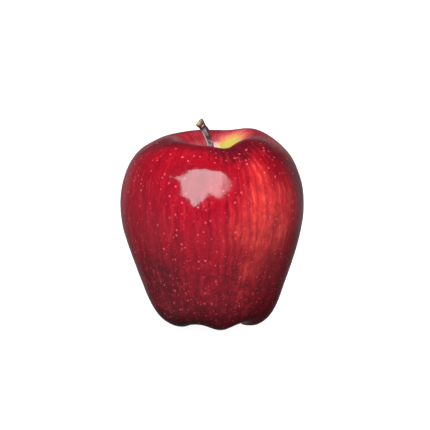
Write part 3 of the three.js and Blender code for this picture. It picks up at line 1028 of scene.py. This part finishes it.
def paint_knob(look, flow, patches):
    """The knob at the end: a rusty crease, a pale notch, purple bark and the broken wood."""
    share = look.parts(flow)[2]
    crease = look.math("ABSOLUTE", look.minus(share, CREASE_SHARE))
    look.paint(look.ease(crease, 0.03, 0.01, 0.0, 0.9), BARK_RUST)
    notch = look.ease(look.math("ABSOLUTE", look.minus(share, NOTCH_SHARE)), 0.02, 0.006)
    notch = look.times(notch, look.ease(facing(look, flow, NOTCH_TURN), 0.84, 0.96))
    look.paint(look.times(notch, 0.6), BARK_PALE_AND_SHEEN)
    shade = look.ease(facing(look, flow, PURPLE_TURN), 0.72, 0.9)
    look.paint(look.times(shade, look.ease(share, 0.86, 0.9)), BARK_PURPLE)
    on_cut, across, _ = look.parts(look.attribute("stem_cut"))
    wood = look.mix(look.ease(patches, 0.4, 0.62), WOOD, WOOD_DARK)
    wood = look.mix(look.ease(across, 0.1, 1.0), wood, OLIVE)
    edge = look.times(look.ease(share, 0.965, 0.985), look.ease(patches, 0.42, 0.55, 0.4, 1.0))
    look.paint(edge, wood)
    look.paint(look.ease(on_cut, 0.2, 0.8), wood)


def make_stem_material():
    look = Look("stem_bark", BARK_DARK)
    flow = look.attribute("stem_flow")
    grain = look.noise(look.place(), BARK_GRAIN_SCALE, detail=3.0, roughness=0.6)
    patches = look.noise(look.place(), BARK_PATCH_SCALE, detail=3.0, roughness=0.6)
    fibres = paint_bark(look, flow, patches)
    paint_knob(look, flow, patches)
    look.set(Base_Color=look.color, Roughness=look.ease(grain, 0.3, 0.7, 0.5, 0.8), IOR=1.45)
    look.bump(look.plus(look.times(fibres, 0.12), look.times(grain, 0.05)))
    return look.material


VEIN_SCALE = 1500.0
BLOT_SCALE = 520.0

SEPAL_BROWN = rgb(96, 66, 46)
SEPAL_DARK = rgb(48, 32, 24)
SEPAL_TAN = rgb(150, 118, 82)
SEPAL_GREEN = rgb(112, 104, 62)
STAMEN_BROWN = rgb(70, 44, 28)
HAIR_GREY = rgb(186, 172, 146)


def make_calyx_material():
    look = Look("calyx_leaves", SEPAL_DARK)
    place = look.place()
    kind, share, across = look.parts(look.attribute("calyx_kind"))
    veins = look.noise(place, VEIN_SCALE, detail=4.0, roughness=0.6)
    blots = look.noise(place, BLOT_SCALE, detail=3.0, roughness=0.6)
    look.paint(look.ease(veins, 0.36, 0.62), SEPAL_BROWN)
    look.paint(look.ease(blots, 0.5, 0.66, 0.0, 0.8), SEPAL_TAN)
    look.paint(look.ease(share, 0.4, 0.0, 0.0, 0.6), SEPAL_GREEN)
    look.paint(look.ease(share, 0.75, 1.0, 0.0, 0.8), SEPAL_DARK)
    look.paint(look.ease(look.math("ABSOLUTE", across), 0.75, 1.0, 0.0, 0.6), SEPAL_DARK)
    look.paint(look.ease(kind, 0.1, 0.4), SEPAL_BROWN)
    look.paint(look.ease(kind, 0.6, 0.9), STAMEN_BROWN)
    look.paint(look.ease(kind, 1.4, 1.8), HAIR_GREY)
    look.set(Base_Color=look.color, Roughness=look.ease(blots, 0.3, 0.7, 0.6, 0.85), IOR=1.45)
    look.bump(look.times(veins, 0.1))
    return look.material


# ---------- camera, light and floor

CAMERA_ELEVATION = 7.0
CAMERA_DISTANCE = 1.6
CAMERA_TARGET = Vector((1.24 * MM, 0.0, 45.8 * MM))
CAMERA_LENS = 323.0
CAMERA_SENSOR = 36.0

# The key light is one soft panel. Its outline, in metres to the right (+X) and up from its middle, is
# that of the highlight that it leaves on the skin.
KEY_AZIMUTH = -8.0
KEY_ELEVATION = 42.0
KEY_DISTANCE = 1.0
KEY_RADIANCE = 8.0
KEY_DIM_RADIANCE = 4.0  # at the panel's right end
KEY_DIM_FROM, KEY_DIM_TO = 0.22, 0.42  # how far to the right it starts to dim and is dim
KEY_COLOR = (0.84, 0.98, 1.0, 1.0)
KEY_OUTLINE = [
    (-0.84, 0.27), (-0.6, 0.24), (-0.5, 0.38), (-0.42, 0.54), (-0.32, 0.59), (-0.18, 0.53),
    (-0.02, 0.54), (0.1, 0.51), (0.24, 0.56), (0.38, 0.4), (0.5, 0.12), (0.52, -0.13), (0.46, -0.31),
    (0.3, -0.4), (0.16, -0.42), (0.03, -0.36), (-0.05, -0.42), (-0.1, -0.5), (-0.18, -0.6),
    (-0.24, -0.66), (-0.37, -0.64), (-0.41, -0.56), (-0.45, -0.46), (-0.52, -0.44), (-0.54, -0.3),
    (-0.53, -0.14), (-0.58, 0.04), (-0.67, 0.18),
]

FLOOR_RADIUS = 10.0
FLOOR_CORNERS = 96
FLOOR_COLOR = (0.9, 0.9, 0.9, 1.0)
FLOOR_ROUGHNESS = 0.8
SKY_STRENGTH = 5.0
SKY_SPREAD = math.radians(100.0)

# The surroundings are a dim room. The floor glows round the foot of the apple, most of all in front,
# and the walls at the sides and at the back glow a little.
ROOM_LEVEL = 0.03
FLOOR_GLOW = 0.24
SIDE_GLOW = 0.12
BACK_GLOW = 0.16
ROOM_COLOR = (1.0, 0.9, 0.96, 1.0)

# Soft lights that leave no highlight: name, azimuth, elevation and strength. One comes from behind,
# and one is thrown up by the floor.
SOFT_LIGHTS = [("fill", 180.0, 25.0, 2.4), ("bounce", 65.0, -35.0, 0.6)]
SOFT_SPREAD = math.radians(70.0)


def direction_from(azimuth, elevation):
    """Unit vector from the apple towards an azimuth and elevation."""
    a, e = math.radians(azimuth), math.radians(elevation)
    return Vector((math.sin(a) * math.cos(e), -math.cos(a) * math.cos(e), math.sin(e)))


def aim(thing, place, target):
    thing.location = place
    thing.rotation_euler = (target - place).to_track_quat("-Z", "Y").to_euler()


def make_camera():
    data = bpy.data.cameras.new("camera")
    data.lens = CAMERA_LENS
    data.sensor_width = CAMERA_SENSOR
    data.clip_start = 0.05
    data.clip_end = 50.0
    camera = add_to_scene("camera", data)
    place = CAMERA_TARGET + CAMERA_DISTANCE * direction_from(0.0, CAMERA_ELEVATION)
    aim(camera, place, CAMERA_TARGET)
    bpy.context.scene.camera = camera


def light_only(light, things):
    """Lets a light reach only the given objects."""
    reached = bpy.data.collections.new(light.name + "_reaches")
    for thing in things:
        reached.objects.link(thing)
    light.light_linking.receiver_collection = reached


def make_key_panel(apple_pieces):
    direction = direction_from(KEY_AZIMUTH, KEY_ELEVATION)
    right = direction_from(KEY_AZIMUTH + 90.0, 0.0)
    up = right.cross(-direction)
    middle = CAMERA_TARGET + KEY_DISTANCE * direction
    corners = [middle + x * right + y * up for x, y in KEY_OUTLINE]
    panel = make_object("key_panel", np.array(corners), [list(range(len(corners)))])
    look = Look("key_panel")
    look.set(Base_Color=(0.0, 0.0, 0.0, 1.0), Specular_IOR_Level=0.0)
    across = look.minus(look.dot(look.place(), right), middle.dot(right))
    radiance = look.ease(across, KEY_DIM_FROM, KEY_DIM_TO, KEY_RADIANCE, KEY_DIM_RADIANCE)
    look.set(Emission_Color=KEY_COLOR, Emission_Strength=radiance)
    panel.data.materials.append(look.material)
    panel.visible_camera = False
    light_only(panel, apple_pieces)


def make_sky_light(floor):
    """Even light for the floor alone. The apple casts no shadow in it, as in the photograph."""
    data = bpy.data.lights.new("sky", "SUN")
    data.energy = SKY_STRENGTH
    data.angle = SKY_SPREAD
    sky = add_to_scene("sky", data)
    light_only(sky, [floor])
    sky.light_linking.blocker_collection = sky.light_linking.receiver_collection


def make_soft_light(name, azimuth, elevation, strength, apple_pieces):
    """A broad dim light on the apple that isn't mirrored in its gloss."""
    data = bpy.data.lights.new(name, "SUN")
    data.energy = strength
    data.angle = SOFT_SPREAD
    light = add_to_scene(name, data)
    aim(light, direction_from(azimuth, elevation), Vector())
    light.visible_glossy = False
    light_only(light, apple_pieces)


def make_surroundings():
    """The dim room that the apple mirrors. The camera sees plain white walls instead."""
    world = bpy.data.worlds.new("room")
    world.use_nodes = True
    world.node_tree.nodes.clear()
    room = Nodes(world.node_tree)
    x, y, z = room.parts(room.add("ShaderNodeTexCoord", {}, output="Generated"))
    below = room.times(room.ease(z, 0.1, -0.5), room.ease(z, -0.75, -0.98, 1.0, 0.35))
    floor = room.times(below, room.ease(y, 0.6, -0.1, 0.15 * FLOOR_GLOW, FLOOR_GLOW))
    level = room.ease(room.math("ABSOLUTE", z), 0.7, 0.1)
    side = room.ease(room.math("ABSOLUTE", x), 0.4, 1.0, 0.0, SIDE_GLOW)
    back = room.ease(y, 0.3, 1.0, 0.0, BACK_GLOW)
    walls = room.times(level, room.plus(side, back))
    total = room.plus(room.plus(floor, walls), ROOM_LEVEL)
    seen = room.add("ShaderNodeBackground", {"Color": (1.0, 1.0, 1.0, 1.0)})
    mirrored = room.add("ShaderNodeBackground", {"Color": ROOM_COLOR, "Strength": total})
    to_camera = room.add("ShaderNodeLightPath", {}, output="Is Camera Ray")
    both = room.add("ShaderNodeMixShader", {0: to_camera, 1: mirrored, 2: seen})
    room.add_output("ShaderNodeOutputWorld", both)
    bpy.context.scene.world = world


def make_floor():
    turns = angles_round(FLOOR_CORNERS)
    points = rows_of(np.cos(turns), np.sin(turns), 0.0 * turns) * FLOOR_RADIUS
    floor = make_object("floor", points, [list(range(FLOOR_CORNERS))])
    look = Look("floor")
    look.set(Base_Color=FLOOR_COLOR, Roughness=FLOOR_ROUGHNESS)
    floor.data.materials.append(look.material)
    floor.visible_diffuse = False
    floor.visible_glossy = False
    return floor


# ---------- the scene

bpy.context.scene.view_settings.view_transform = "Standard"
make_camera()
floor = make_floor()
make_sky_light(floor)
make_surroundings()

skin = make_skin()
skin.data.materials.append(make_skin_material())
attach(skin, "root")
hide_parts("fruit")

stem = make_stem()
stem.data.materials.append(make_stem_material())
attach(stem, "root")
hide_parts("stem")

calyx = make_calyx()
calyx.data.materials.append(make_calyx_material())
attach(calyx, "root")
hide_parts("calyx")

make_key_panel([skin, stem, calyx])
for name, azimuth, elevation, strength in SOFT_LIGHTS:
    make_soft_light(name, azimuth, elevation, strength, [skin, stem, calyx])
